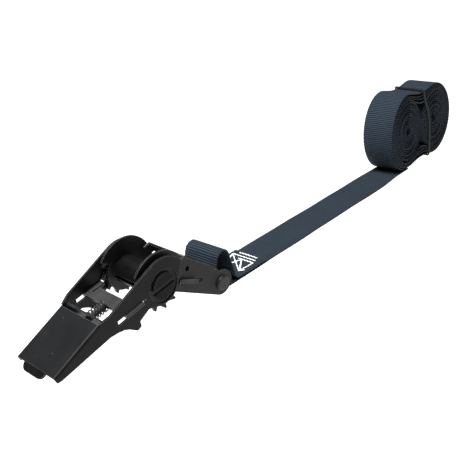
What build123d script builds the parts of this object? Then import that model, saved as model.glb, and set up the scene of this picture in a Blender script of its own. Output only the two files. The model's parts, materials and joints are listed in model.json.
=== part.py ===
"""Ratchet strap: a pressed-steel ratchet buckle on 25 mm webbing, with the spare webbing rolled and tied.

Millimetres. +Z is up, the strap runs along +X away from the buckle, and -Y is the buckle's near side.
The origin is the middle of the whole object's footprint, on the surface it lies on.
The buckle stands as an open V, on its handle's tongue and on its anchor end, with the handle at -X.
"""
import math
import os

from build123d import *

# --- webbing -----------------------------------------------------------------------------------
WEB_W = 25.0            # webbing width
WEB_T = 1.3             # webbing thickness
STRAP_YAW = 5.7         # the strap leads off this many degrees towards +Y, from the anchor bolt

# --- widths across the buckle: each is half the width, measured from the middle plane ------------
BASE_IN = 13.4          # inside of the base cheeks
BASE_T = 1.3            # base sheet
BASE_OUT = BASE_IN + BASE_T
SIDE_GAP = 0.3          # clearance beside each ratchet wheel
WHEEL_T = 1.9           # ratchet wheel plate
WHEEL_IN = BASE_OUT + SIDE_GAP
WHEEL_OUT = WHEEL_IN + WHEEL_T
HANDLE_IN = WHEEL_OUT + SIDE_GAP
HANDLE_T = 1.2          # handle sheet
HANDLE_OUT = HANDLE_IN + HANDLE_T
GRIP_OUT = 16.6         # the grip is narrower than the pivot end
SPINDLE_END = HANDLE_OUT + 1.2

# --- pivot and base ------------------------------------------------------------------------------
PIVOT_Z = 27.2          # spindle axis above the floor
BASE_TILT = -21.16       # direction from the spindle to the anchor bolt, degrees
BOLT_REACH = 53.2       # spindle axis to anchor bolt
ANCHOR_R = 8.0          # rounded anchor end of a base cheek
CAM_R = 19.6            # raised cam rim of a base cheek
CAM_FROM, CAM_TO = 47.0, 171.0     # angles of the rim, from the base's own axis
BOSS_R = 13.0           # base cheek round the spindle, below the rim
BOSS_LEAVE = -21.7      # angle on the boss where the cheek's lower edge leaves it
ARM_RISE = 5.6          # how far above the bolt the cheek's top edge ends
CHEEK_PAST_WEB = (0.6, 2.0)        # how far a cheek's top edge runs on, before and after the web
WEB_FROM, WEB_TO = 14.6, 43.0      # the base's back web, along the base's axis
WEB_TOP_A, WEB_TOP_B = 15.8, 8.8   # height of the web's outer face at the pivot side and anchor side
NOTCH_W, NOTCH_D = 1.3, 3.2        # bend relief at each end of the web
NOTCH_AT = 49.0         # angle of the relief in the rim
END_NOTCH = 1.0         # how far past the web the other relief is

# --- spindle and ratchet wheels ------------------------------------------------------------------
SPINDLE_R = 8.3
SPINDLE_CHAMFER = 0.5
SLOT_GAP = 3.0          # webbing slot between the spindle halves
FIT = 0.08              # radial running clearance
SLOT_TURN = 13.0        # the slot's angle above level
HUB_R = 10.2            # wheel hub that the handle turns on
TEETH = 12
TIP_R, ROOT_R = 15.4, 12.6
TOOTH_AT = -20.0        # angle of one steep tooth face
TIP_SPAN, BACK_SPAN = 4.0, 15.0    # degrees along a tooth's tip, and down its back
HUB_END = HANDLE_IN + 0.4         # how far out the hubs reach into the handle cheeks

# --- lock pawl, on the base's axis ---------------------------------------------------------------
LOCK_LOW, LOCK_T = 0.6, 2.1        # its lower face above the base's axis, and its thickness
LOCK_TIP = 13.9                    # tip, from the spindle axis
LOCK_TAIL = 31.0
LOCK_NECK, LOCK_FRONT = (17.2, 29.0), 20.0     # its ears in the slots, and its front edge between them
LOCK_SLOT = (16.8, 35.3)
LOCK_SLOT_LOW, LOCK_SLOT_TOP = 0.3, 3.0
LOCK_STEP = 2.0         # the slot's square step down at its inner end
LOCK_SEAT = 38.2        # near face of the spring seat
PAWL_SIDE = 0.5         # clearance beside the pawl between and outside the cheeks
SIDE_HOLE, SIDE_HOLE_R = (19.9, 8.8), 1.9     # small round hole in each base cheek

# --- handle --------------------------------------------------------------------------------------
HANDLE_TILT = 29.8      # slope of the grip
ARC_R = 17.3            # handle cheek's arc, and the grip's outer face above the pivot
ARC_FROM = 5.5          # angle where that arc starts
BACK_R = 11.0           # handle cheek below the pivot
GRIP_FROM, GRIP_TO = -77.2, -41.7  # ends of the grip plate
BEND_R = 1.8            # outer radius where the grip bends into its cheeks
JOG_FROM, JOG_TO = -41.0, -34.5    # the cheeks spread between these
LIP_DROP = 1.2          # the grip's outer end rounds down by this much
# lower edge of a handle cheek, from its outer end to the pivot, in the handle's own axes
CHEEK_EDGE = ((-77.3, 13.4), (-74.6, 12.1), (-36.0, 3.6), (-33.0, 2.0), (-30.6, -0.8), (-27.2, -6.6),
              (-24.0, -6.5), (-23.0, -3.3), (-14.9, -2.6), (-8.0, -7.4))
CHEEK_FRONT = ((6.4, -8.8), (15.9, 1.6))       # its edge on the strap's side of the pivot
TONGUE_W, TONGUE_R, TONGUE_L = 18.0, 4.1, 4.2
TONGUE_LAP = 0.4        # how far the tongue runs back into the grip
TONGUE_TURN = 16.0      # the tongue's bend below the grip
DIMPLE_R, DIMPLE_D = 1.6, 0.35
DIMPLES = ((-66.0, -4.0), (-47.0, 7.5))

# --- drive pawl, on the handle -------------------------------------------------------------------
DRIVE_AT = 165.4        # its direction from the spindle, from the handle's own axis
DRIVE_T = 2.2
DRIVE_TIP = 15.75
DRIVE_WAIST = 20.2      # front edge between the base cheeks
DRIVE_NOTCH = 25.0      # how far its notches over the base cheeks go
DRIVE_TAIL = 28.6
DRIVE_SLOT = (13.6, 34.6)
DRIVE_SLOT_GAP = 0.35
DRIVE_EAR = 0.7         # how far the ears stand out of the handle cheeks
STEM_W = 3.4
STEM_END = 47.0
SEAT_LAP = 0.05         # how far the spring seat runs into the handle cheeks
SEAT_AT, SEAT_T, SEAT_HALF = 40.2, 1.2, 4.6    # spring seat across the handle: where, thickness, half-height

# --- springs -------------------------------------------------------------------------------------
SPRING_WIRE = 0.8
DRIVE_SPRING_R, LOCK_SPRING_R = 3.6, 2.6
COIL_TURNS = 6

# --- webbing along the floor, measured from the anchor bolt along the strap -----------------------
LAP_FROM, LAP_TO = 15.5, 47.0      # doubled and sewn stretch
STITCH_FROM, STITCH_STEP, STITCH_ROWS = 24.0, 5.0, 5
STITCH_W, THREAD = 18.5, 0.4
LOOP_TOP = (2.7, 20.7)  # middle of the loop's raised end, along and up
FOLD_EASE = 0.2         # extra radius where the loop closes on the strap
LOOP_TOP_R, LOOP_BOLT_R = 6.4, 6.7  # outside radii at the raised end and round the bolt
LOBE_NEAR, LOBE_FAR = 244.5, 290.0  # middles of the rolled webbing's two lobes
LOBE_NEAR_R, LOBE_FAR_R = (28.0, 31.2), (29.5, 30.4)   # each lobe's half-length and half-height
WAIST_RISE, WAIST_H = 2.6, 56.0    # underside and height of the roll between the lobes
ROLL_LEAN = 4.0         # the roll leans towards +Y
TIE_AT, TIE_W, TIE_T = 268.5, 3.0, 0.8
TIE_EASE = 0.02         # slack of the band round the roll

# --- anchor bolt ----------------------------------------------------------------------------------
BOLT_R, SLEEVE_R = 3.0, 4.1
BOLT_HOLE_R = BOLT_R + 0.05
HEAD_R, HEAD_H, HEAD_ROUND = 4.7, 1.6, 0.96
BOLT_PROUD = 1.0        # bolt end past the nut
NUT_ACROSS, NUT_H = 9.0, 3.0
WASHER_R, WASHER_T = 4.9, 0.8


def cheek(outline, inner, thickness, side):
    """A flat plate of the outline, in the XZ plane, on one side of the middle plane."""
    plate = extrude(Plane.XZ * outline, -thickness)
    lift = inner if side > 0 else -inner - thickness
    return Pos(0, lift, 0) * plate


def across(outline, half_width):
    """A solid of the outline, in the XZ plane, that spans the middle plane."""
    return Pos(0, -half_width, 0) * extrude(Plane.XZ * outline, -2 * half_width)


def sector(radius, start, end):
    """A pie slice, for arcs with their own radius."""
    reach = radius * 3
    step = (end - start) / 4
    rim = [(reach * math.cos(math.radians(start + step * i)),
            reach * math.sin(math.radians(start + step * i))) for i in range(5)]
    return Circle(radius) & make_face(Polyline((0, 0), *rim, close=True))


def block(x_range, z_range):
    """A rectangle in the sketch plane, given by its two ranges."""
    width, height = x_range[1] - x_range[0], z_range[1] - z_range[0]
    return Pos(x_range[0] + width / 2, z_range[0] + height / 2) * Rectangle(width, height)


def web_height(x):
    """Height of the base web's outer face along the base's axis."""
    return WEB_TOP_A + (WEB_TOP_B - WEB_TOP_A) * (x - WEB_FROM) / (WEB_TO - WEB_FROM)


def on_base(solid):
    """From the base's own axes to the assembly's, with the spindle at the origin."""
    return Rot(0, -BASE_TILT, 0) * solid


def on_handle(solid):
    """From the handle's own axes to the assembly's, with the spindle at the origin."""
    return Rot(0, -HANDLE_TILT, 0) * solid


def on_drive(solid):
    """From the drive pawl's sliding line (+X outwards) to the assembly's axes."""
    return on_handle(Rot(0, -DRIVE_AT, 0) * solid)


def bolt_point():
    """Anchor bolt's place in the XZ plane, from the spindle."""
    angle = math.radians(BASE_TILT)
    return BOLT_REACH * math.cos(angle), BOLT_REACH * math.sin(angle)


def on_strap(solid):
    """From the strap's axes (+X along it, its bolt at the origin, floor at Z = 0)."""
    x, _ = bolt_point()
    return Pos(x, 0, -PIVOT_Z) * Rot(0, 0, STRAP_YAW) * solid


def web_plate():
    """The sheet that joins the base cheeks across the back."""
    outline = Polyline((WEB_FROM, web_height(WEB_FROM)), (WEB_TO, web_height(WEB_TO)),
                       (WEB_TO, web_height(WEB_TO) - BASE_T), (WEB_FROM, web_height(WEB_FROM) - BASE_T),
                       close=True)
    return across(make_face(outline), BASE_OUT)


def spring_seat_tab():
    """Tab folded down from the base web, which the lock pawl's spring pushes against."""
    low = LOCK_LOW + LOCK_T / 2 - LOCK_SPRING_R
    high = web_height(LOCK_SEAT) - BASE_T / 2
    return across(block((LOCK_SEAT, LOCK_SEAT + BASE_T), (low, high)), LOCK_SPRING_R + 1)


def base_cheek_outline():
    """Side shape of a base cheek: cam rim, web edge, rounded anchor end, and its holes."""
    leave = math.radians(BOSS_LEAVE)
    start, end = WEB_FROM - CHEEK_PAST_WEB[0], WEB_TO + CHEEK_PAST_WEB[1]
    arm = make_face(Polyline((0, 0), (BOSS_R * math.cos(leave), BOSS_R * math.sin(leave)),
                             (BOLT_REACH, -ANCHOR_R), (BOLT_REACH, ARM_RISE), (end, web_height(end)),
                             (start, web_height(start)), close=True))
    outline = arm + Circle(BOSS_R) + sector(CAM_R, CAM_FROM, CAM_TO)
    outline += Pos(BOLT_REACH, 0) * Circle(ANCHOR_R)
    relief = Rot(0, 0, NOTCH_AT) * block((CAM_R - NOTCH_D, CAM_R + NOTCH_D), (-NOTCH_W / 2, NOTCH_W / 2))
    end_relief = Pos(WEB_TO + END_NOTCH, web_height(WEB_TO + END_NOTCH)) * Circle(NOTCH_W / 2)
    pawl_slot = block(LOCK_SLOT, (LOCK_SLOT_LOW, LOCK_SLOT_TOP))
    pawl_slot += block((LOCK_SLOT[0], LOCK_SLOT[0] + LOCK_STEP),
                       (LOCK_SLOT_LOW - LOCK_STEP, LOCK_SLOT_TOP))
    outline -= Circle(SPINDLE_R + FIT) + relief + end_relief + pawl_slot
    return outline - Pos(BOLT_REACH, 0) * Circle(BOLT_HOLE_R) - Pos(*SIDE_HOLE) * Circle(SIDE_HOLE_R)


def base_frame():
    """One bent sheet: two cheeks, the web that joins them, and the spring seat."""
    outline = base_cheek_outline()
    sheet = cheek(outline, BASE_IN, BASE_T, 1) + cheek(outline, BASE_IN, BASE_T, -1)
    return on_base(sheet + web_plate() + spring_seat_tab())


def rod(radius, start, end):
    """A round bar along Y between two Y values."""
    return Pos(0, (start + end) / 2, 0) * Rot(90, 0, 0) * Cylinder(radius, abs(end - start))


def at_bolt(solid):
    """Moves a piece from the origin to the anchor bolt's axis."""
    x, z = bolt_point()
    return Pos(x, 0, z) * solid


def anchor_bolt():
    """Round-headed bolt through both cheeks; its domed head is on the near side."""
    head = rod(HEAD_R, -BASE_OUT - HEAD_H, -BASE_OUT)
    head = fillet(head.edges().group_by(Axis.Y)[0], HEAD_ROUND)
    return at_bolt(head + rod(BOLT_R, -BASE_OUT, BASE_OUT + WASHER_T + NUT_H + BOLT_PROUD))


def anchor_nut():
    """Hexagon nut on the far side."""
    outline = RegularPolygon(NUT_ACROSS / 2, 6, major_radius=False) - Circle(BOLT_HOLE_R)
    start = BASE_OUT + WASHER_T
    return at_bolt(Pos(0, start, 0) * extrude(Plane.XZ * outline, -NUT_H))


def anchor_washer():
    """Plain washer under the nut."""
    ring = Circle(WASHER_R) - Circle(BOLT_HOLE_R)
    return at_bolt(Pos(0, BASE_OUT, 0) * extrude(Plane.XZ * ring, -WASHER_T))


def anchor_sleeve():
    """Tube that spaces the cheeks and carries the webbing loop."""
    return at_bolt(across(Circle(SLEEVE_R) - Circle(BOLT_HOLE_R), BASE_IN))


def coil(radius, start, end, height):
    """A closed-end spring along +X, as one round-wire helix."""
    turns = COIL_TURNS
    length = end - start - SPRING_WIRE
    path = Helix(pitch=length / turns, height=length, radius=radius - SPRING_WIRE / 2)
    wire = sweep(Plane(path @ 0, z_dir=path % 0) * Circle(SPRING_WIRE / 2), path=path)
    return Pos(start + SPRING_WIRE / 2, 0, height) * Rot(0, 90, 0) * wire


def lock_pawl():
    """Sliding plate whose two ears stop both ratchet wheels from unwinding."""
    inner = BASE_IN - PAWL_SIDE
    ear_in, ear_out = BASE_OUT + PAWL_SIDE / 2, HANDLE_IN - SIDE_GAP
    plan = block((LOCK_FRONT, LOCK_TAIL), (-inner, inner))
    plan += block(LOCK_NECK, (-ear_out, ear_out)) - block((0, LOCK_FRONT), (-inner, inner))
    for side in (-1, 1):
        middle = side * (ear_in + ear_out) / 2
        plan += Pos((LOCK_TIP + LOCK_NECK[1]) / 2, middle) * Rectangle(LOCK_NECK[1] - LOCK_TIP,
                                                                      ear_out - ear_in)
    return on_base(Pos(0, 0, LOCK_LOW) * extrude(plan, LOCK_T))


def lock_pawl_spring():
    """Coil spring that pushes the lock pawl into the wheels."""
    return on_base(coil(LOCK_SPRING_R, LOCK_TAIL, LOCK_SEAT, LOCK_LOW + LOCK_T / 2))


def handle_cheek_outline():
    """Side shape of a handle cheek: round the spindle, then tapering along the grip."""
    lip = [(GRIP_FROM + LIP_DROP, ARC_R), (GRIP_FROM, ARC_R - LIP_DROP)]
    body = make_face(Polyline((0, ARC_R), *lip, *CHEEK_EDGE, (0, -BACK_R), *CHEEK_FRONT, close=True))
    outline = body + Circle(BACK_R) + sector(ARC_R, ARC_FROM, 90)
    slot = Rot(0, 0, DRIVE_AT) * block(DRIVE_SLOT, (-DRIVE_T / 2 - DRIVE_SLOT_GAP,
                                                    DRIVE_T / 2 + DRIVE_SLOT_GAP))
    return outline - Circle(HUB_R + FIT) - slot


def handle_plan(side):
    """Top view of one handle cheek: close in along the grip, spread at the pivot."""
    inner, outer = HANDLE_IN - HANDLE_OUT + GRIP_OUT, GRIP_OUT
    edge = [(GRIP_FROM - 1, outer), (JOG_FROM, outer), (JOG_TO, HANDLE_OUT), (ARC_R + 1, HANDLE_OUT)]
    back = [(ARC_R + 1, HANDLE_IN), (JOG_TO, HANDLE_IN), (JOG_FROM, inner), (GRIP_FROM - 1, inner)]
    points = [(x, y * side) for x, y in edge + back]
    return Pos(0, 0, -ARC_R - 1) * extrude(make_face(Polyline(*points, close=True)), 2 * ARC_R + 3)


def grip_plate():
    """Flat top of the grip, with its rounded bends and two press marks."""
    width = 2 * GRIP_OUT
    middle = (GRIP_FROM + GRIP_TO) / 2
    plate = Pos(middle, 0, ARC_R - HANDLE_T / 2) * Box(GRIP_TO - GRIP_FROM, width, HANDLE_T)
    for x, y in DIMPLES:
        plate -= Pos(x, y, ARC_R + DIMPLE_R - DIMPLE_D) * Sphere(DIMPLE_R)
    return plate


def grip_tongue():
    """Rounded lip at the outer end of the grip, bent down to lift the handle by."""
    lip = block((-TONGUE_L, TONGUE_LAP), (-TONGUE_W / 2, TONGUE_W / 2))
    lip = fillet(lip.vertices().group_by(Axis.X)[0], TONGUE_R * 0.99)
    lip = Pos(0, 0, -HANDLE_T) * extrude(lip, HANDLE_T)
    return Pos(GRIP_FROM, 0, ARC_R) * Rot(0, -TONGUE_TURN, 0) * lip


def handle_frame():
    """Pressed handle: two cheeks, joined by the grip plate over the outer half."""
    outline = handle_cheek_outline()
    reach = HANDLE_OUT - HANDLE_IN + HANDLE_OUT - GRIP_OUT
    near = cheek(outline, HANDLE_OUT - reach, reach, -1) & handle_plan(-1)
    far = cheek(outline, HANDLE_OUT - reach, reach, 1) & handle_plan(1)
    body = near + far + grip_plate()
    body -= bend_corner(-1) + bend_corner(1)
    return on_handle(body + grip_tongue() + drive_seat())


def bend_corner(side):
    """What the sheet's bend leaves out of a square corner, where the grip meets a cheek."""
    length = JOG_FROM - GRIP_FROM + 1
    middle = JOG_FROM - length / 2
    square = Pos(middle, side * GRIP_OUT, ARC_R) * Box(length, 2 * BEND_R, 2 * BEND_R)
    bend = Pos(middle, side * (GRIP_OUT - BEND_R), ARC_R - BEND_R) * Rot(0, 90, 0) * Cylinder(BEND_R, length)
    return square - bend


def drive_seat():
    """Cross plate under the grip that the drive pawl's spring pushes against."""
    inner = HANDLE_IN - HANDLE_OUT + GRIP_OUT
    plate = across(block((SEAT_AT, SEAT_AT + SEAT_T), (-SEAT_HALF, SEAT_HALF)), inner + SEAT_LAP)
    plate -= Pos(SEAT_AT, 0, 0) * Box(4 * SEAT_T, STEM_W + 2 * DRIVE_SLOT_GAP, DRIVE_T + 2 * DRIVE_SLOT_GAP)
    return Rot(0, -DRIVE_AT, 0) * plate


def drive_pawl():
    """Sliding bar that the fingers pull; its teeth turn both ratchet wheels."""
    ear = HANDLE_OUT + DRIVE_EAR
    plan = block((DRIVE_WAIST, DRIVE_TAIL), (-ear, ear))
    for side in (-1, 1):
        notch = side * (BASE_IN + BASE_OUT) / 2
        plan -= Pos((DRIVE_WAIST + DRIVE_NOTCH) / 2, notch) * Rectangle(DRIVE_NOTCH - DRIVE_WAIST,
                                                                        BASE_T + 2 * SIDE_GAP)
        tooth = side * (WHEEL_IN + ear) / 2
        plan += Pos((DRIVE_TIP + DRIVE_TAIL) / 2, tooth) * Rectangle(DRIVE_TAIL - DRIVE_TIP,
                                                                     ear - WHEEL_IN)
    plan += block((DRIVE_TAIL, STEM_END), (-STEM_W / 2, STEM_W / 2))
    return on_drive(Pos(0, 0, -DRIVE_T / 2) * extrude(plan, DRIVE_T))


def drive_pawl_spring():
    """Coil spring round the drive pawl's stem."""
    return on_drive(coil(DRIVE_SPRING_R, DRIVE_TAIL, SEAT_AT, 0))


def half_round(turn, end):
    """One spindle half: a D-shaped bar on one side of the webbing slot, of a given half-length."""
    outline = Circle(SPINDLE_R) & block((-SPINDLE_R, SPINDLE_R), (SLOT_GAP / 2, SPINDLE_R))
    bar = across(outline, end)
    bar = chamfer(bar.edges().group_by(Axis.Y)[0] + bar.edges().group_by(Axis.Y)[-1], SPINDLE_CHAMFER)
    return Rot(0, -SLOT_TURN - turn, 0) * bar


def wheel_teeth():
    """Ratchet outline: each tooth has one steep face, and slopes away from it."""
    points = []
    for tooth in range(TEETH):
        start = TOOTH_AT - tooth * 360 / TEETH
        for radius, turn in ((ROOT_R, 0), (TIP_R, 0), (TIP_R, -TIP_SPAN), (ROOT_R, -TIP_SPAN - BACK_SPAN)):
            angle = math.radians(start + turn)
            points.append((radius * math.cos(angle), radius * math.sin(angle)))
    return make_face(Polyline(*points, close=True))


def ratchet_wheel(side):
    """Toothed wheel with a hub for the handle, keyed on the two spindle halves."""
    disc = cheek(wheel_teeth(), WHEEL_IN, WHEEL_T, side)
    disc += cheek(Circle(HUB_R), WHEEL_IN, HUB_END - WHEEL_IN, side)
    keyed = Circle(SPINDLE_R) - Rectangle(3 * SPINDLE_R, SLOT_GAP)
    keyed = Rot(0, 0, SLOT_TURN) * keyed
    return disc - cheek(keyed, WHEEL_IN - 1, HUB_END - WHEEL_IN + 2, side)


def slab(x_range, z_range):
    """A webbing-wide block in the strap's axes."""
    return across(block(x_range, z_range), WEB_W / 2)


def loop_outline(inset):
    """Outline of the raised webbing loop, pulled in by an inset."""
    bolt_z = ANCHOR_R
    close_r = WEB_T + FOLD_EASE
    circles = (((0, bolt_z), LOOP_BOLT_R), (LOOP_TOP, LOOP_TOP_R), ((LAP_FROM, WEB_T + close_r), close_r))
    edges = [(Pos(*middle) * Circle(radius - inset)).edge() for middle, radius in circles]
    return make_face(make_hull(edges))


def webbing_loop():
    """Webbing folded over the anchor sleeve, with its end lying on the strap."""
    ring = across(loop_outline(0) - loop_outline(WEB_T), WEB_W / 2)
    return on_strap(ring + slab((LAP_FROM, LAP_TO), (WEB_T, 2 * WEB_T)))


def webbing_stretch():
    """The flat run on the floor, up to the roll."""
    return on_strap(slab((LAP_FROM - 5, LOBE_NEAR), (0, WEB_T)))


def webbing_roll():
    """The spare webbing, rolled flat into two lobes."""
    lobes = Pos(LOBE_NEAR, LOBE_NEAR_R[1]) * Ellipse(*LOBE_NEAR_R)
    lobes += Pos(LOBE_FAR, LOBE_FAR_R[1]) * Ellipse(*LOBE_FAR_R)
    lobes += block((LOBE_NEAR, LOBE_FAR), (WAIST_RISE, WAIST_RISE + WAIST_H))
    return on_strap(lean(across(lobes, WEB_W / 2)))


def lean(solid):
    """Tips a piece of the roll towards +Y, about the far edge it rests on."""
    return Pos(0, WEB_W / 2, WEB_T) * Rot(-ROLL_LEAN, 0, 0) * Pos(0, -WEB_W / 2, 0) * solid


def loop_stitching():
    """Raised rows of thread that hold the loop's end down."""
    rows = []
    for row in range(STITCH_ROWS):
        x = STITCH_FROM + row * STITCH_STEP
        thread = Pos(x, 0, 2 * WEB_T + THREAD / 2) * Box(THREAD, STITCH_W, THREAD)
        rows.append(on_strap(thread))
    return Compound(children=rows)


def roll_tie_band():
    """Thin band round the roll's middle, which keeps it rolled."""
    x, half = TIE_AT, WEB_W / 2
    low, high = WAIST_RISE, WAIST_RISE + WAIST_H
    outer = Pos(0, 0, (low + high) / 2) * Box(TIE_W, WEB_W + 2 * TIE_T, high - low + 2 * TIE_T)
    inner = Pos(0, 0, (low + high) / 2) * Box(2 * TIE_W, WEB_W + TIE_EASE, high - low + TIE_EASE)
    return on_strap(lean(Pos(x, 0, 0) * (outer - inner)))


def pieces():
    """Every node by name, with the spindle's axis at the origin."""
    upper, lower = half_round(0, SPINDLE_END), half_round(180, HANDLE_OUT)
    return {
        "base_frame": base_frame(),
        "anchor_bolt": anchor_bolt(),
        "anchor_nut": anchor_nut(),
        "anchor_washer": anchor_washer(),
        "anchor_sleeve": anchor_sleeve(),
        "lock_pawl": lock_pawl(),
        "lock_pawl_spring": lock_pawl_spring(),
        "handle_frame": handle_frame(),
        "drive_pawl": drive_pawl(),
        "drive_pawl_spring": drive_pawl_spring(),
        "spindle_half_upper": upper,
        "spindle_half_lower": lower,
        "near_ratchet_wheel": ratchet_wheel(-1),
        "far_ratchet_wheel": ratchet_wheel(1),
        "webbing_loop": webbing_loop(),
        "webbing_stretch": webbing_stretch(),
        "webbing_roll": webbing_roll(),
        "loop_stitching": loop_stitching(),
        "roll_tie_band": roll_tie_band(),
    }


def main():
    """Centres the assembly on its footprint and writes one file per node."""
    os.makedirs("parts", exist_ok=True)
    nodes = pieces()
    boxes = [solid.bounding_box() for solid in nodes.values()]
    low = [min(getattr(box.min, axis) for box in boxes) for axis in "XYZ"]
    high = [max(getattr(box.max, axis) for box in boxes) for axis in "XYZ"]
    shift = Pos(-(low[0] + high[0]) / 2, -(low[1] + high[1]) / 2, -low[2])
    for name, solid in nodes.items():
        export_step(shift * solid, f"parts/{name}.step")
    print("spindle at", shift.position, "size", [round(b - a, 2) for a, b in zip(low, high)])


main()
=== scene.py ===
import json
import math

import bmesh
import bpy
from mathutils import Matrix, Vector


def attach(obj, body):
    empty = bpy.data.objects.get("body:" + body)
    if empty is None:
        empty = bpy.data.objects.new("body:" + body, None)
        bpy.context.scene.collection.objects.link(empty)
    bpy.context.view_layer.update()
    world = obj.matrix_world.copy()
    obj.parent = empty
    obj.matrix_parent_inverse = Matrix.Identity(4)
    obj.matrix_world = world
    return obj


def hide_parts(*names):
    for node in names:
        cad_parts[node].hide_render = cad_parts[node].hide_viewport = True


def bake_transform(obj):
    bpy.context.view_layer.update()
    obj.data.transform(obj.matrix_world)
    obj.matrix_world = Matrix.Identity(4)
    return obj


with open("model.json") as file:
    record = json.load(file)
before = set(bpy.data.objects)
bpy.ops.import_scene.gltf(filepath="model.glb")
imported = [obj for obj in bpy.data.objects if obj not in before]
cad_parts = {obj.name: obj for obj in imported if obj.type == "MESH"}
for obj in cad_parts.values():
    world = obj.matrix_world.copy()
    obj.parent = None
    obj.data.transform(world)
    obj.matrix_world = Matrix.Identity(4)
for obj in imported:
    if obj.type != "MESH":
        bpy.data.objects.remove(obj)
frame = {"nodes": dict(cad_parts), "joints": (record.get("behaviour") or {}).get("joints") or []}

# Metres, in the CAD part's own frame. The object rests on z = 0, and the floor that is drawn lies lower.
# A place on the strap is given by s, how far it is along the strap from the anchor bolt, by its height z,
# and by side, how far it is across the strap.
JOINTS = {joint["name"]: joint for joint in frame["joints"]}
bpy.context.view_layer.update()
PIVOT = Vector(JOINTS["handle_swing"]["pos_m"])
BOLT = Vector(JOINTS["strap_swivel"]["pos_m"])
YAW = math.radians(5.7)                 # the strap leads off towards +Y
ALONG = Vector((math.cos(YAW), math.sin(YAW), 0))
ACROSS = Vector((-math.sin(YAW), math.cos(YAW), 0))
UP = Vector((0, 0, 1))
FOOT = Vector((BOLT.x, BOLT.y, 0))      # under the bolt, at z = 0
QUARTER = math.pi / 2

# webbing
WEB_W, WEB_T = 0.025, 0.0013
RIB_PITCH, RIB_DEPTH = 0.0015, 0.00012
YARN_PITCH = 0.00085
SELVEDGES, SELVEDGE_HALF = (0.0250, 0.0508), 0.0009    # where both edges come round the section, in V

# buckle springs: the lines that the pawls slide on, in degrees from +X towards +Z
WIRE_R = 0.0004
COIL_TURNS = 5
CLOSED_TURNS = 0.8          # at each end
SPRING_EASE = 0.00005       # gap between a spring's end and what it pushes on
DRIVE_LINE, BASE_LINE = 195.2, -21.16
LOCK_LIFT = 0.00165         # the lock pawl's middle above the base's line

# sewn loop round the bolt, as (s, z)
LOOP_R = 0.0058
LOOP_BOLT = (0.0, 0.008)                # middle of the arc under the bolt
LOOP_TOP = (0.0027, 0.0207)             # middle of the arc at its top
LAP_END = 0.047
RUN_FROM, RUN_STEP, RUN_POINTS = 0.0495, 0.010, 19
RUN_WAVE, RUN_WAVE_TURN = 0.0001, 1.3

# roll: each lobe's middle along the strap, half-length and half-height
LOBES = ((0.2445, 0.0280, 0.0312), (0.2900, 0.0295, 0.0304))
LEAST_R = 0.0012
SAG = {1: (0.0022, 0.65), -1: (0.0014, 0.55)}   # waist's sag, above and below: outermost, and per depth
LEAN = math.radians(4.0)                # the roll leans towards +Y
LEAN_FROM, LEAN_OVER = 0.205, 0.02      # where the lowest webbing starts to lean, and over what length
LEAN_BELOW = 0.004                      # only webbing lower than this has its lean faded in
TURN_PITCH = 0.00136
WOUND_T = 0.00118           # the wound turns are pressed a little thinner
LOOSE_EVERY, SLACK = 3.0, 0.00055       # every third turn leaves this much extra gap
OUTER_TURNS = 4             # turns that go round both lobes
OUTER_STEPS, CORE_STEPS = 90, 60        # points per turn
CORE_LEN, CORE_EYE = 0.0220, 0.0026     # half-length of each lobe's own coil, and of its open middle
CORE_SKIP = 6               # points left out where the outer turns run into the near lobe's coil
WOBBLE = 0.00016
DRIFT_WAVES = ((0.00035, 21.0, 0.0), (0.00025, 53.0, 1.0))     # size, turn per metre, start

# tie band: (edge of the webbing, place along the strap, height, or which face of the roll it lies on)
TIE_W, TIE_T, TIE_EDGE = 0.0027, 0.0007, 0.0003
TIE_OUT = WEB_W / 2 + 0.0004
TIE_LIFT = 0.0003
TIE_STEPS = 10
TIE_TOP, TIE_FOOT = (0.0005, 0.0029), (0.0012, 0.0024)         # how far inside the lobes, plus at the waist
TIE_CORNERS = ((-1, 0.2705, 0.0520), (-1, 0.2768, 0.0400), (-1, 0.2798, 0.0290), (-1, 0.2800, 0.0150),
               (-1, 0.2795, "foot"), (1, 0.2800, "foot"), (1, 0.2765, 0.0300), (1, 0.2712, "top"),
               (-1, 0.2690, "top"))

# stitching on the lap: (along, across)
THREAD_R = 0.00036
LAP_TOP = 0.00196 + WEB_T / 2
STITCH_Z = LAP_TOP + THREAD_R * 0.35
STITCH_L, STITCH_DIP, THREAD_STEP = 0.0024, 0.00018, 0.0004
FOOT_S, HEAD_S, WIDE = 0.0238, 0.0448, 0.0095


# ---------------------------------------------------------------- node material helpers
def new_material(name):
    """A material with one Principled shader."""
    mat = bpy.data.materials.new(name)
    mat.use_nodes = True
    tree = mat.node_tree
    tree.nodes.clear()
    out = tree.nodes.new("ShaderNodeOutputMaterial")
    shader = tree.nodes.new("ShaderNodeBsdfPrincipled")
    tree.links.new(shader.outputs["BSDF"], out.inputs["Surface"])
    return mat, tree, shader


def node(tree, kind, **values):
    """A node with some of its inputs or settings given."""
    made = tree.nodes.new(kind)
    for key, value in values.items():
        if key in made.inputs:
            made.inputs[key].default_value = value
        else:
            setattr(made, key, value)
    return made


def noise(tree, vector, scale, detail=4.0, rough=0.55):
    """Noise over a vector, from 0 to 1."""
    made = node(tree, "ShaderNodeTexNoise", Scale=scale, Detail=detail, Roughness=rough)
    tree.links.new(vector, made.inputs["Vector"])
    return made.outputs["Fac"]


def ramp(tree, fac, low, high):
    """Colour that runs between two stops, each a place and a colour."""
    made = tree.nodes.new("ShaderNodeValToRGB")
    tree.links.new(fac, made.inputs["Fac"])
    for item, (place, colour) in zip(made.color_ramp.elements, (low, high)):
        item.position = place
        item.color = (*colour, 1.0)
    return made.outputs["Color"]


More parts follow.
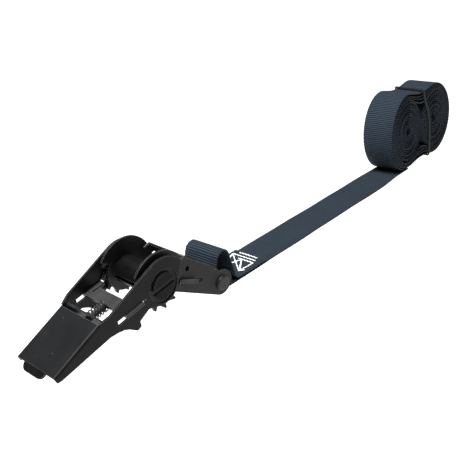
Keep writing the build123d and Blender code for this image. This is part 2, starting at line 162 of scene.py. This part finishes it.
def object_vector(tree, scale=(1, 1, 1)):
    """The object's own coordinates, stretched."""
    coords = tree.nodes.new("ShaderNodeTexCoord")
    mapping = tree.nodes.new("ShaderNodeMapping")
    mapping.inputs["Scale"].default_value = scale
    tree.links.new(coords.outputs["Object"], mapping.inputs["Vector"])
    return mapping.outputs["Vector"]


def maths(tree, operation, *values):
    """A Math node on numbers or on other nodes' outputs."""
    made = node(tree, "ShaderNodeMath", operation=operation)
    for index, value in enumerate(values):
        if isinstance(value, (int, float)):
            made.inputs[index].default_value = value
        else:
            tree.links.new(value, made.inputs[index])
    return made.outputs[0]


def weighted(tree, *pairs):
    """Sum of outputs, each times its weight."""
    total = maths(tree, "MULTIPLY", *pairs[0])
    for pair in pairs[1:]:
        total = maths(tree, "ADD", total, maths(tree, "MULTIPLY", *pair))
    return total


def wave(tree, phase):
    """A sine of the phase, from 0 to 1."""
    return maths(tree, "MULTIPLY_ADD", maths(tree, "SINE", phase), 0.5, 0.5)


def blend_colour(tree, factor, first, second, blend_type="MIX"):
    """Mixes a colour output with a fixed colour."""
    mix = node(tree, "ShaderNodeMix", data_type="RGBA", blend_type=blend_type)
    tree.links.new(factor, mix.inputs["Factor"])
    tree.links.new(first, mix.inputs[6])
    mix.inputs[7].default_value = (*second, 1.0)
    return mix.outputs[2]


def bump(tree, height, strength, distance, normal=None):
    """A normal from a height, on top of another normal."""
    made = node(tree, "ShaderNodeBump", Strength=strength, Distance=distance)
    tree.links.new(height, made.inputs["Height"])
    if normal is not None:
        tree.links.new(normal, made.inputs["Normal"])
    return made.outputs["Normal"]


# ---------------------------------------------------------------- materials
def edge_wear_and_highlight(tree, blotch, wear_and_highlight_amount, reach=0.0006, sharpness=5.0):
    """Mask of the sharp edges, where the coating has worn off in patches and where a painted highlight
    lightens them.
    """
    bevel = node(tree, "ShaderNodeBevel", samples=4, Radius=reach)
    geometry = tree.nodes.new("ShaderNodeNewGeometry")
    dot = node(tree, "ShaderNodeVectorMath", operation="DOT_PRODUCT")
    tree.links.new(bevel.outputs["Normal"], dot.inputs[0])
    tree.links.new(geometry.outputs["Normal"], dot.inputs[1])
    mask = maths(tree, "MULTIPLY", maths(tree, "SUBTRACT", 1.0, dot.outputs["Value"]), sharpness)
    mask = maths(tree, "MULTIPLY", mask, maths(tree, "ADD", blotch, 0.2))
    clamp = tree.nodes.new("ShaderNodeClamp")
    tree.links.new(maths(tree, "MULTIPLY", mask, wear_and_highlight_amount), clamp.inputs["Value"])
    return clamp.outputs["Result"]


def metal(name, dark, light, rough, metallic=0.0, brush=(1, 1, 1), wear_and_highlight_amount=0.5, specular=0.5):
    """Coated or plated steel: fine brushing, blotches, small pits, and edges lightened partly by wear and
    partly by a painted highlight.
    """
    mat, tree, shader = new_material(name)
    vector = object_vector(tree)
    blotch = noise(tree, vector, 90.0, 5.0)
    fine = noise(tree, object_vector(tree, brush), 900.0, 3.0, 0.7)
    grain = noise(tree, vector, 2600.0, 2.0, 0.6)
    base = ramp(tree, weighted(tree, (blotch, 0.6), (fine, 0.4)), (0.36, dark), (0.62, light))
    # Sharp edges are blended towards light grey: partly worn-off coating, partly a painted highlight along
    # the rims.
    worn_and_highlit = blend_colour(tree, edge_wear_and_highlight(tree, blotch, wear_and_highlight_amount), base, (0.16, 0.16, 0.165))
    tree.links.new(worn_and_highlit, shader.inputs["Base Color"])
    rough_range = node(tree, "ShaderNodeMapRange")
    tree.links.new(fine, rough_range.inputs["Value"])
    rough_range.inputs["To Min"].default_value = rough[0]
    rough_range.inputs["To Max"].default_value = rough[1]
    tree.links.new(rough_range.outputs["Result"], shader.inputs["Roughness"])
    shader.inputs["Metallic"].default_value = metallic
    shader.inputs["Specular IOR Level"].default_value = specular
    pits = bump(tree, fine, 0.10, 0.00006, bump(tree, grain, 0.12, 0.00005))
    tree.links.new(bump(tree, blotch, 0.10, 0.0002, pits), shader.inputs["Normal"])
    return mat


def weave_pattern(tree, vector, along, side):
    """Transverse ribs, a little uneven, with the warp yarns snaking over them, from 0 to 1."""
    waver = noise(tree, vector, 160.0, 3.0)
    shifted = maths(tree, "ADD", along, maths(tree, "MULTIPLY", waver, 0.00035))
    rib = wave(tree, maths(tree, "MULTIPLY", shifted, 2 * math.pi / RIB_PITCH))
    snake = maths(tree, "SINE", maths(tree, "MULTIPLY", along, math.pi / RIB_PITCH))
    yarn_phase = maths(tree, "MULTIPLY", side, 2 * math.pi / YARN_PITCH)
    yarn = wave(tree, maths(tree, "ADD", yarn_phase, maths(tree, "MULTIPLY", snake, 0.9)))
    return weighted(tree, (rib, 0.68), (yarn, 0.32))


def webbing(name, dark, light):
    """Woven polyester with browner selvedges; the colour follows the weave, and its rib valleys are darkened
    further with painted shade. Its UV map is in metres: U along, V round the section.
    """
    mat, tree, shader = new_material(name)
    uv = tree.nodes.new("ShaderNodeUVMap")
    uv.uv_map = "weave"
    split = tree.nodes.new("ShaderNodeSeparateXYZ")
    tree.links.new(uv.outputs["UV"], split.inputs["Vector"])
    side = split.outputs["Y"]
    weave = weave_pattern(tree, uv.outputs["UV"], split.outputs["X"], side)
    vector = object_vector(tree)
    fuzz = noise(tree, vector, 1500.0, 4.0, 0.7)
    patch = noise(tree, vector, 28.0, 3.0)
    weave_tone_and_rib_shade = weighted(tree, (weave, 0.72), (fuzz, 0.22), (patch, 0.12))
    # Rib crests are coloured light and rib valleys nearly black: the weave's own pattern, plus painted shade
    # in the valleys and a painted highlight on the crests.
    colour = ramp(tree, weave_tone_and_rib_shade, (0.26, dark), (0.78, light))
    rims = [maths(tree, "COMPARE", side, middle, SELVEDGE_HALF) for middle in SELVEDGES]
    rim = maths(tree, "MULTIPLY", maths(tree, "ADD", *rims), 0.9)
    rimmed = blend_colour(tree, rim, colour, (0.80, 0.66, 0.62), "MULTIPLY")
    tree.links.new(rimmed, shader.inputs["Base Color"])
    shader.inputs["Roughness"].default_value = 0.82
    shader.inputs["Sheen Weight"].default_value = 0.04
    shader.inputs["Sheen Roughness"].default_value = 0.5
    shader.inputs["Specular IOR Level"].default_value = 0.12
    ribbed = bump(tree, weave, 0.9, 0.00035)
    tree.links.new(bump(tree, fuzz, 0.35, 0.0001, ribbed), shader.inputs["Normal"])
    return mat


def sewing_thread(name, colour):
    """Twisted white thread."""
    mat, tree, shader = new_material(name)
    twist = noise(tree, object_vector(tree), 3500.0, 3.0, 0.7)
    shade = tuple(channel * 0.72 for channel in colour)
    tree.links.new(ramp(tree, twist, (0.3, shade), (0.6, colour)), shader.inputs["Base Color"])
    shader.inputs["Roughness"].default_value = 0.75
    shader.inputs["Sheen Weight"].default_value = 0.4
    tree.links.new(bump(tree, twist, 0.5, 0.0001), shader.inputs["Normal"])
    return mat


def band_rubber(name, dark, light):
    """Matt rubber with a little dust."""
    mat, tree, shader = new_material(name)
    dust = noise(tree, object_vector(tree), 400.0, 5.0, 0.6)
    tree.links.new(ramp(tree, dust, (0.35, dark), (0.75, light)), shader.inputs["Base Color"])
    shader.inputs["Roughness"].default_value = 0.6
    shader.inputs["Specular IOR Level"].default_value = 0.2
    tree.links.new(bump(tree, dust, 0.3, 0.0001), shader.inputs["Normal"])
    return mat


def glowing_paper(name, strength):
    """Pale floor that gives off a little light, so that it stays even."""
    mat, _, shader = new_material(name)
    shader.inputs["Base Color"].default_value = (0.50, 0.50, 0.50, 1)
    shader.inputs["Roughness"].default_value = 0.9
    shader.inputs["Specular IOR Level"].default_value = 0.1
    shader.inputs["Emission Color"].default_value = (1, 1, 1, 1)
    shader.inputs["Emission Strength"].default_value = strength
    return mat


STEELS = {
    "base_steel": metal("base_steel", (0.0062, 0.0052, 0.0050), (0.0125, 0.0108, 0.0104), (0.36, 0.50),
                        brush=(1, 1, 6), wear_and_highlight_amount=0.35, specular=0.16),
    "handle_steel": metal("handle_steel", (0.0036, 0.0036, 0.0037), (0.0082, 0.0080, 0.0082), (0.30, 0.44),
                          brush=(6, 1, 1), wear_and_highlight_amount=0.35, specular=0.09),
    # The wheels are coloured nearly black as painted shade, so that the recess round the spindle's end and
    # the gap behind the handle's cheek look dark.
    "wheel_steel": metal("wheel_steel", (0.0020, 0.0020, 0.0020), (0.0050, 0.0050, 0.0050), (0.40, 0.55),
                         specular=0.18),
    "spindle_steel": metal("spindle_steel", (0.0026, 0.0026, 0.0026), (0.0066, 0.0064, 0.0064),
                           (0.34, 0.48), brush=(1, 0.06, 1), wear_and_highlight_amount=0.4, specular=0.06),
    "pawl_zinc": metal("pawl_zinc", (0.018, 0.0178, 0.0178), (0.044, 0.043, 0.043), (0.34, 0.48), 0.05,
                       brush=(1, 0.1, 1), wear_and_highlight_amount=0.4, specular=0.12),
    "bolt_zinc": metal("bolt_zinc", (0.0065, 0.0056, 0.0054), (0.013, 0.0115, 0.011), (0.36, 0.5),
                       specular=0.28),
    "spring_steel": metal("spring_steel", (0.004, 0.004, 0.004), (0.010, 0.010, 0.010), (0.3, 0.45), 0.2),
}
# The dark end is nearly black, so the rib valleys carry painted shade on top of the weave's own darker yarn.
WEB = webbing("webbing", (0.0005, 0.0007, 0.0010), (0.027, 0.042, 0.062))
THREAD = sewing_thread("thread", (0.97, 0.97, 0.95))
TIE = band_rubber("tie_rubber", (0.003, 0.003, 0.0034), (0.012, 0.012, 0.013))
PAPER = glowing_paper("floor_paper", 1.0)

STEEL_NODES = {
    "base_steel": ("base_frame",),
    "bolt_zinc": ("anchor_bolt", "anchor_nut", "anchor_washer", "anchor_sleeve"),
    "pawl_zinc": ("lock_pawl", "drive_pawl"),
    "handle_steel": ("handle_frame",),
    "spindle_steel": ("spindle_half_upper", "spindle_half_lower"),
    "wheel_steel": ("near_ratchet_wheel", "far_ratchet_wheel"),
}


def finish_steel(piece, material):
    """Paints a CAD piece and softens its sharp edges."""
    piece.data.materials.clear()
    piece.data.materials.append(material)
    soften = piece.modifiers.new("bevel", "BEVEL")
    soften.width = 0.00012
    soften.segments = 2
    soften.limit_method = "ANGLE"
    soften.angle_limit = math.radians(35)
    soften.use_clamp_overlap = True
    soften.harden_normals = False


for steel, names in STEEL_NODES.items():
    for name in names:
        finish_steel(frame["nodes"][name], STEELS[steel])


# ---------------------------------------------------------------- mesh helpers
def skin(bm, rings, smooth=True, closed=False):
    """Faces between rings of vertices. A row of rings that doesn't close on itself is capped."""
    count = len(rings[0])
    made = []
    for a, b in zip(rings, rings[1:] + rings[:1] if closed else rings[1:]):
        for i in range(count):
            j = (i + 1) % count
            face = bm.faces.new((a[i], a[j], b[j], b[i]))
            face.smooth = smooth
            made.append(face)
    if not closed:
        bm.faces.new(rings[0][::-1])
        bm.faces.new(rings[-1])
    return made


def mesh_object(name, bm, material):
    """A scene object of a finished bmesh."""
    bmesh.ops.recalc_face_normals(bm, faces=bm.faces)
    mesh = bpy.data.meshes.new(name)
    bm.to_mesh(mesh)
    bm.free()
    obj = bpy.data.objects.new(name, mesh)
    bpy.context.scene.collection.objects.link(obj)
    obj.data.materials.append(material)
    return obj


def round_ring(bm, middle, first, second, radius, sides):
    """A ring of vertices round a point, in the plane of two directions."""
    ring = []
    for i in range(sides):
        angle = 2 * math.pi * i / sides
        ring.append(bm.verts.new(middle + (first * math.cos(angle) + second * math.sin(angle)) * radius))
    return ring


def heading(points, index):
    """Direction of a polyline at one of its points."""
    return (points[min(index + 1, len(points) - 1)] - points[max(index - 1, 0)]).normalized()


# ---------------------------------------------------------------- coil springs between the seats and the pawls' tails
def line_point(degrees, out, lift):
    """A point out along a line from the spindle, in the buckle's middle plane, and lift square to it."""
    angle = math.radians(degrees)
    along = Vector((math.cos(angle), 0, math.sin(angle)))
    square = Vector((-math.sin(angle), 0, math.cos(angle)))
    return PIVOT + along * out + square * lift


def spring(name, start, end, radius, steps=28, sides=10):
    """A round-wire coil from start to end, with a closed turn at each end."""
    axis = (end - start).normalized()
    first = Vector((0, 1, 0))
    second = axis.cross(first)
    span = (end - start).length - 2 * WIRE_R
    total = COIL_TURNS + 2
    bm = bmesh.new()
    rings = []
    for step in range(total * steps + 1):
        turn = step / steps
        run = min(max(turn - CLOSED_TURNS, 0.0) / (total - 2 * CLOSED_TURNS), 1.0)
        angle = 2 * math.pi * turn
        radial = first * math.cos(angle) + second * math.sin(angle)
        middle = start + axis * (WIRE_R + span * run) + radial * radius
        rings.append(round_ring(bm, middle, radial, axis, WIRE_R, sides))
    skin(bm, rings)
    return mesh_object(name, bm, STEELS["spring_steel"])


def fit_spring(name, node_name, seat_end, tail_end, radius):
    """Puts a coil between a seat on one body and a pawl's tail on another, in place of its CAD node."""
    wound = spring(name, seat_end, tail_end, radius)
    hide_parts(node_name)
    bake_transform(wound)


fit_spring("drive_coil", "drive_pawl_spring",
           line_point(DRIVE_LINE, 0.0402 - SPRING_EASE, 0.0),
           line_point(DRIVE_LINE, 0.0286 + SPRING_EASE, 0.0), 0.0032)
fit_spring("lock_coil", "lock_pawl_spring",
           line_point(BASE_LINE, 0.0382 - SPRING_EASE, LOCK_LIFT),
           line_point(BASE_LINE, 0.0310 + SPRING_EASE, LOCK_LIFT), 0.0022)


# ---------------------------------------------------------------- paths of the webbing, as (s, z)
def strap_point(s, z, side=0.0):
    """The scene's point for a place on the strap."""
    return FOOT + ALONG * s + ACROSS * side + UP * z


def rolled_place(s, z, side):
    """As strap_point, with the roll leaning about the far edge it rests on. The lean fades in."""
    share = min(1.0, max(0.0, (s - LEAN_FROM) / LEAN_OVER)) if z < LEAN_BELOW else 1.0
    lean = LEAN * share
    out, up = side - WEB_W / 2, z - WEB_T
    height = WEB_T + up * math.cos(lean) - out * math.sin(lean)
    return strap_point(s, height, WEB_W / 2 + out * math.cos(lean) + up * math.sin(lean))


def smooth_curve(points, steps):
    """Catmull-Rom curve through points."""
    pts = [Vector(point) for point in points]
    pts = [2 * pts[0] - pts[1]] + pts + [2 * pts[-1] - pts[-2]]
    made = []
    for i in range(1, len(pts) - 2):
        a, b, c, d = pts[i - 1:i + 3]
        for k in range(steps):
            t = k / steps
            made.append(0.5 * ((2 * b) + (c - a) * t + (2 * a - 5 * b + 4 * c - d) * t * t
                               + (3 * b - a - 3 * c + d) * t ** 3))
    made.append(pts[-2])
    return made


def resample(path, step):
    """Points every step metres along a polyline, with the running length."""
    made, lengths, run, carry = [path[0]], [0.0], 0.0, 0.0
    for a, b in zip(path, path[1:]):
        span = (b - a).length
        if span < 1e-9:
            continue
        place = step - carry
        while place <= span:
            made.append(a.lerp(b, place / span))
            lengths.append(run + place)
            place += step
        carry = span - (place - step)
        run += span
    if run - lengths[-1] > step * 0.2:
        made.append(path[-1])
        lengths.append(run)
    return made, lengths


def arc(middle, degrees):
    """Points of the loop's radius round a middle."""
    turns = [math.radians(degree) for degree in degrees]
    return [(middle[0] + LOOP_R * math.cos(turn), middle[1] + LOOP_R * math.sin(turn)) for turn in turns]


def loop_path():
    """From under the lap, round the bolt, up over the raised loop and down on to the lap's end."""
    under = [(s, WEB_T / 2) for s in (RUN_FROM, 0.042, 0.034, 0.026, 0.018, 0.0105)]
    under += [(0.0060, 0.0011), (0.0015, 0.0020)]
    rise = [(-0.0050, 0.0125), (-0.0037, 0.0175)]
    fall = [(0.0098, 0.0178), (0.0124, 0.0115), (0.0145, 0.0060), (0.0168, 0.0032), (0.0195, 0.0022)]
    lap = [(0.0225, 0.00196), (0.0270, 0.00196), (0.0340, 0.00198), (0.0400, 0.00196), (LAP_END, 0.00194)]
    round_bolt = arc(LOOP_BOLT, (-100, -130, -160, -180))
    return under + round_bolt + rise + arc(LOOP_TOP, (150, 118, 88, 58, 30)) + fall + lap


def run_path():
    """Almost flat along z = 0, from the loop to the roll's foot."""
    points = [(RUN_FROM + k * RUN_STEP, WEB_T / 2 + RUN_WAVE * math.sin(k * RUN_WAVE_TURN))
              for k in range(RUN_POINTS)]
    return points + [(LOBES[0][0], WEB_T / 2)]


def wound_depth(turn, first=0.0):
    """How far in the webbing lies after so many turns; now and then a turn was wound slack."""
    loose = (turn + first) / LOOSE_EVERY
    gaps = math.floor(loose) + min(1.0, (loose % 1.0) * 2.0) - min(1.0, first / LOOSE_EVERY * 2.0)
    return TURN_PITCH * turn + SLACK * gaps


def lobe_size(lobe, shrink):
    """One lobe's half-length and half-height, pulled in by shrink."""
    _, half_len, half_high = LOBES[lobe]
    return max(half_len - shrink, LEAST_R), max(half_high - shrink, LEAST_R)


def lobe_arc(lobe, shrink, angle):
    """Point on one lobe's ellipse, pulled in by shrink."""
    middle, _, half_high = LOBES[lobe]
    a, b = lobe_size(lobe, shrink)
    return Vector((middle + a * math.cos(angle), half_high + b * math.sin(angle)))


def waist(start, end, shrink, t, face):
    """Point between two lobes, over them (face 1) or under them (face -1), sagging at the middle."""
    s0, z0 = LOBES[start][0], LOBES[start][2] + face * lobe_size(start, shrink)[1]
    s1, z1 = LOBES[end][0], LOBES[end][2] + face * lobe_size(end, shrink)[1]
    flat, share = SAG[face]
    sag = (flat + share * shrink) * math.sin(math.pi * t) ** 1.5
    return Vector((s0 + (s1 - s0) * t, z0 + (z1 - z0) * t - face * sag))


def lobe_outline(shrink, turn):
    """Point on the roll's outline, pulled in by shrink. A turn starts at the foot, towards -X."""
    near, far = (math.pi * sum(lobe_size(lobe, shrink)) / 2 for lobe in (0, 1))
    span = LOBES[1][0] - LOBES[0][0]
    place = (turn % 1.0) * (near + span + far + span)
    if place < near:
        return lobe_arc(0, shrink, -QUARTER - math.pi * place / near)
    place -= near
    if place < span:
        return waist(0, 1, shrink, place / span, 1)
    place -= span
    if place < far:
        return lobe_arc(1, shrink, QUARTER - math.pi * place / far)
    return waist(1, 0, shrink, (place - far) / span, -1)


def outer_path():
    """The turns that go round both lobes."""
    points = []
    for step in range(OUTER_TURNS * OUTER_STEPS + 1):
        turn = step / OUTER_STEPS
        wobble = WOBBLE * math.sin(turn * 2 * math.pi * 3.0 + math.floor(turn) * 2.1) * min(1, turn)
        points.append(lobe_outline(WEB_T / 2 + wound_depth(turn) + wobble, turn))
    return points


def core_path(lobe, start, skip=0):
    """One lobe's own coil, from where the outer turns leave off to its open middle."""
    middle, _, half_high = LOBES[lobe]
    tall = half_high - wound_depth(OUTER_TURNS) - WEB_T / 2
    turns = int((CORE_LEN - CORE_EYE) / (TURN_PITCH + SLACK / LOOSE_EVERY))
    points = []
    for step in range(skip, turns * CORE_STEPS + 1):
        turn = step / CORE_STEPS
        a = CORE_LEN - wound_depth(turn, lobe)
        b = tall * max(a, 0.0) / CORE_LEN
        angle = start - 2 * math.pi * turn
        points.append(Vector((middle + a * math.cos(angle), half_high + b * math.sin(angle))))
    return points


def roll_drift(length):
    """Small sideways shifts from turn to turn, as hand rolling leaves."""
    return sum(size * math.sin(length * rate + start) for size, rate, start in DRIFT_WAVES)


def no_drift(length):
    """For webbing that lies straight."""
    return 0.0


# ---------------------------------------------------------------- webbing as ribbons
def web_section(thick):
    """Section of the webbing with rounded selvedges, as (across, up)."""
    half, t, edge = WEB_W / 2, thick / 2, WEB_W / 2 - 0.0004
    top = [(-edge, t), (-half * 0.5, t), (0, t), (half * 0.5, t), (edge, t)]
    low = [(across, -up) for across, up in reversed(top)]
    return top + [(half, t * 0.35), (half, -t * 0.35)] + low + [(-half, -t * 0.35), (-half, t * 0.35)]


def web_ring(bm, point, direction, length, section, thick, place, shift):
    """One ring of a ribbon: ribs make it thinner and thicker, and its selvedges waver."""
    normal = Vector((-direction.y, direction.x))
    phase = 2 * math.pi * length / RIB_PITCH
    swell = 1.0 + (RIB_DEPTH / thick) * (math.cos(phase) - 1.0)
    edge = 0.00012 * (math.sin(phase * 0.5) + math.sin(length * 61.0))
    ring = []
    for across, up in section:
        waver = edge * math.copysign(1, across) if abs(across) > WEB_W * 0.3 else 0.0
        spot = point + normal * (up * swell)
        ring.append(bm.verts.new(place(spot.x, spot.y, across + waver + shift)))
    return ring


def ribbon(name, path, place, step=0.0005, thick=WEB_T, start=0.0, drift=no_drift):
    """Webbing along a path, with a UV map in metres. Returns it with its length."""
    points, lengths = resample(path, step)
    section = web_section(thick)
    count = len(section)
    around = [0.0]
    for (x0, y0), (x1, y1) in zip(section, section[1:] + section[:1]):
        around.append(around[-1] + math.hypot(x1 - x0, y1 - y0))
    bm = bmesh.new()
    uv = bm.loops.layers.uv.new("weave")
    rings = [web_ring(bm, point, heading(points, i), start + lengths[i], section, thick, place,
                      drift(lengths[i])) for i, point in enumerate(points)]
    for index, face in enumerate(skin(bm, rings)):
        i, k = divmod(index, count)
        u0, u1 = start + lengths[i], start + lengths[i + 1]
        v0, v1 = around[k], around[k + 1]
        for corner, spot in zip(face.loops, ((u0, v0), (u0, v1), (u1, v1), (u1, v0))):
            corner[uv].uv = spot
    return mesh_object(name, bm, WEB), lengths[-1]


WOUND = {"step": 0.0010, "thick": WOUND_T, "drift": roll_drift}

fold, fold_len = ribbon("webbing_fold", smooth_curve(loop_path(), 10), strap_point)
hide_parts("webbing_loop")
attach(fold, "strap")

run, run_len = ribbon("webbing_run", smooth_curve(run_path(), 4), rolled_place, start=0.5)
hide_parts("webbing_stretch")
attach(run, "strap")

core, core_len = ribbon("webbing_core", core_path(1, math.pi * 0.9), rolled_place, start=4.3, **WOUND)
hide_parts("webbing_roll")
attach(core, "strap")

roll_line = outer_path() + core_path(0, -QUARTER, CORE_SKIP)
roll, roll_len = ribbon("webbing_wound", roll_line, rolled_place, start=1.3, **WOUND)
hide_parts("webbing_roll")
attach(roll, "strap")
print("webbing metres: fold", round(fold_len, 4), "run", round(run_len, 4), "wound", round(roll_len, 4),
      "core", round(core_len, 4))


# ---------------------------------------------------------------- tie band round the roll, askew
def roll_height(s, face):
    """Height of the roll's top (face 1) or underside (face -1), where the band lies on it."""
    (near, _, near_high), (far, _, far_high) = LOBES
    t = min(1.0, max(0.0, (s - near) / (far - near)))
    sag = math.sin(math.pi * t) ** 1.5
    if face > 0:
        return 2 * (near_high + (far_high - near_high) * t) - TIE_TOP[0] - TIE_TOP[1] * sag
    return TIE_FOOT[0] + TIE_FOOT[1] * sag


def tie_knots():
    """The band's corners as (s, z, side), each with the face that it lies on, or 0 on the roll's sides."""
    faces = {"top": 1, "foot": -1}
    knots = []
    for edge, s, where in TIE_CORNERS:
        face = faces.get(where, 0)
        z = roll_height(s, face) + face * TIE_LIFT if face else where
        knots.append((Vector((s, z, edge * TIE_OUT)), face))
    return knots


def tie_ring(bm, point, direction, outward):
    """One ring of the band: wide along the strap, and thick outwards, which is (side, up)."""
    wide = Vector((1, 0, 0)) - direction * direction.x
    wide = wide.normalized() if wide.length > 0.1 else Vector((1, 0, 0))
    half = TIE_W / 2
    ring = []
    for across, deep in ((-half, 0), (-half + TIE_EDGE, TIE_T), (half - TIE_EDGE, TIE_T), (half, 0)):
        q = point + wide * across
        ring.append(bm.verts.new(rolled_place(q.x, q.y + outward[1] * deep, q.z + outward[0] * deep)))
    return ring


def tie_band():
    """A flat rubber band, closed round the roll."""
    knots = tie_knots()
    bm = bmesh.new()
    rings = []
    for (a, face), (b, next_face) in zip(knots, knots[1:] + knots[:1]):
        crosses = face != 0 and face == next_face
        for k in range(TIE_STEPS):
            point = a.lerp(b, k / TIE_STEPS)
            if crosses:
                point.y = roll_height(point.x, face) + face * TIE_LIFT
            outward = (0, face) if crosses else (math.copysign(1, point.z), 0)
            rings.append(tie_ring(bm, point, (b - a).normalized(), outward))
    skin(bm, rings, smooth=False, closed=True)
    return mesh_object("tie_band", bm, TIE)


tie = tie_band()
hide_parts("roll_tie_band")
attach(tie, "strap")


# ---------------------------------------------------------------- white zigzag stitching on the lap
def stitch_points(corners):
    """Thread over a run of corners, dipping into the webbing at every stitch."""
    made, run = [], 0.0
    for a, b in zip(corners, corners[1:]):
        a, b = Vector(a), Vector(b)
        steps = max(2, int((b - a).length / THREAD_STEP))
        for k in range(steps):
            p = a.lerp(b, k / steps)
            dip = STITCH_DIP * math.cos(2 * math.pi * (run + (p - a).length) / STITCH_L)
            made.append(strap_point(p.x, STITCH_Z + dip, p.y))
        run += (b - a).length
    made.append(strap_point(corners[-1][0], STITCH_Z, corners[-1][1]))
    return made


def thread_rows():
    """Corners of every row: three bars at the head, a zigzag sewn twice, and one long tail."""
    rows = [[(HEAD_S, -0.0070), (HEAD_S, 0.0072)],
            [(HEAD_S - 0.0037, -0.0082), (HEAD_S - 0.0037, WIDE)],
            [(HEAD_S - 0.0070, -0.0085), (HEAD_S - 0.0070, 0.0030)]]
    for shift in (0.0, 0.0010):
        rows.append([(HEAD_S - 0.0040 - shift, WIDE), (FOOT_S + shift, 0.0045), (HEAD_S - 0.0075, 0.0000),
                     (FOOT_S + shift, -0.0080), (HEAD_S - 0.0072 - shift, -0.0088)])
    rows.append([(HEAD_S - 0.0042, WIDE), (FOOT_S + 0.0008, -0.0072), (FOOT_S + 0.0030, -0.0102)])
    return rows


def thread(name, points, sides=8):
    """A round thread through points."""
    bm = bmesh.new()
    rings = []
    for i, point in enumerate(points):
        direction = heading(points, i)
        side = direction.cross(UP).normalized()
        rings.append(round_ring(bm, point, side, side.cross(direction), THREAD_R, sides))
    skin(bm, rings)
    return mesh_object(name, bm, THREAD)


def join(name, parts):
    """Makes one object of several."""
    bpy.ops.object.select_all(action="DESELECT")
    for part in parts:
        part.select_set(True)
    bpy.context.view_layer.objects.active = parts[0]
    bpy.ops.object.join()
    parts[0].name = name
    return parts[0]


stitches = join("lap_stitching", [thread("stitch_%d" % i, stitch_points(row))
                                  for i, row in enumerate(thread_rows())])
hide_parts("loop_stitching")
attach(stitches, "strap")


# ---------------------------------------------------------------- floor, light, camera
FLOOR_Z = -0.42         # low enough for the strap to hang free in the poses where it swings down
FLOOR_HALF = 40.0
KEY = {"place": (-0.45, -0.05, 1.55), "target": (0, 0, 0.02), "size": 0.6, "power": 62.0, "colour": (1, 1, 1)}
BACK = {"place": (-0.28, 0.95, 1.05), "target": (-0.12, 0, 0.02), "size": 1.1, "power": 6.0,
        "colour": (0.80, 0.92, 1.0)}
SKY = 0.10
CAMERA_FROM_PIVOT = Vector((-0.2804, -0.3370, 0.2308))
CAMERA_YAW, CAMERA_DOWN, CAMERA_ROLL = math.radians(43.49), math.radians(25.22), math.radians(-1.076)
CAMERA_LENS = 67.79


def lay_floor():
    """Wide pale floor."""
    bm = bmesh.new()
    bmesh.ops.create_grid(bm, x_segments=1, y_segments=1, size=FLOOR_HALF)
    floor = mesh_object("floor", bm, PAPER)
    floor.location.z = FLOOR_Z


def area_light(name, place, target, size, power, colour):
    """A square soft light that faces its target."""
    data = bpy.data.lights.new(name, "AREA")
    data.shape = "SQUARE"
    data.size = size
    data.energy = power
    data.color = colour
    light = bpy.data.objects.new(name, data)
    light.location = place
    light.rotation_euler = (Vector(target) - Vector(place)).to_track_quat("-Z", "Y").to_euler()
    bpy.context.scene.collection.objects.link(light)


def set_sky(strength):
    """Even white surroundings."""
    world = bpy.data.worlds.new("studio")
    bpy.context.scene.world = world
    world.use_nodes = True
    background = world.node_tree.nodes["Background"]
    background.inputs["Color"].default_value = (1, 1, 1, 1)
    background.inputs["Strength"].default_value = strength


def set_camera():
    """Camera above the buckle, towards -X and -Y, looking down across it."""
    data = bpy.data.cameras.new("camera")
    data.sensor_width = 36.0
    data.lens = CAMERA_LENS
    data.clip_start = 0.01
    camera = bpy.data.objects.new("camera", data)
    bpy.context.scene.collection.objects.link(camera)
    level = math.cos(CAMERA_DOWN)
    look = Vector((level * math.cos(CAMERA_YAW), level * math.sin(CAMERA_YAW), -math.sin(CAMERA_DOWN)))
    right = look.cross(UP).normalized()
    above = right.cross(look)
    c, s = math.cos(CAMERA_ROLL), math.sin(CAMERA_ROLL)
    turn = Matrix((right * c + above * s, above * c - right * s, -look)).transposed().to_4x4()
    camera.matrix_world = Matrix.Translation(PIVOT + CAMERA_FROM_PIVOT) @ turn
    bpy.context.scene.camera = camera


lay_floor()
area_light("key", **KEY)
area_light("back", **BACK)
set_sky(SKY)
bpy.context.scene.view_settings.view_transform = "Standard"
set_camera()
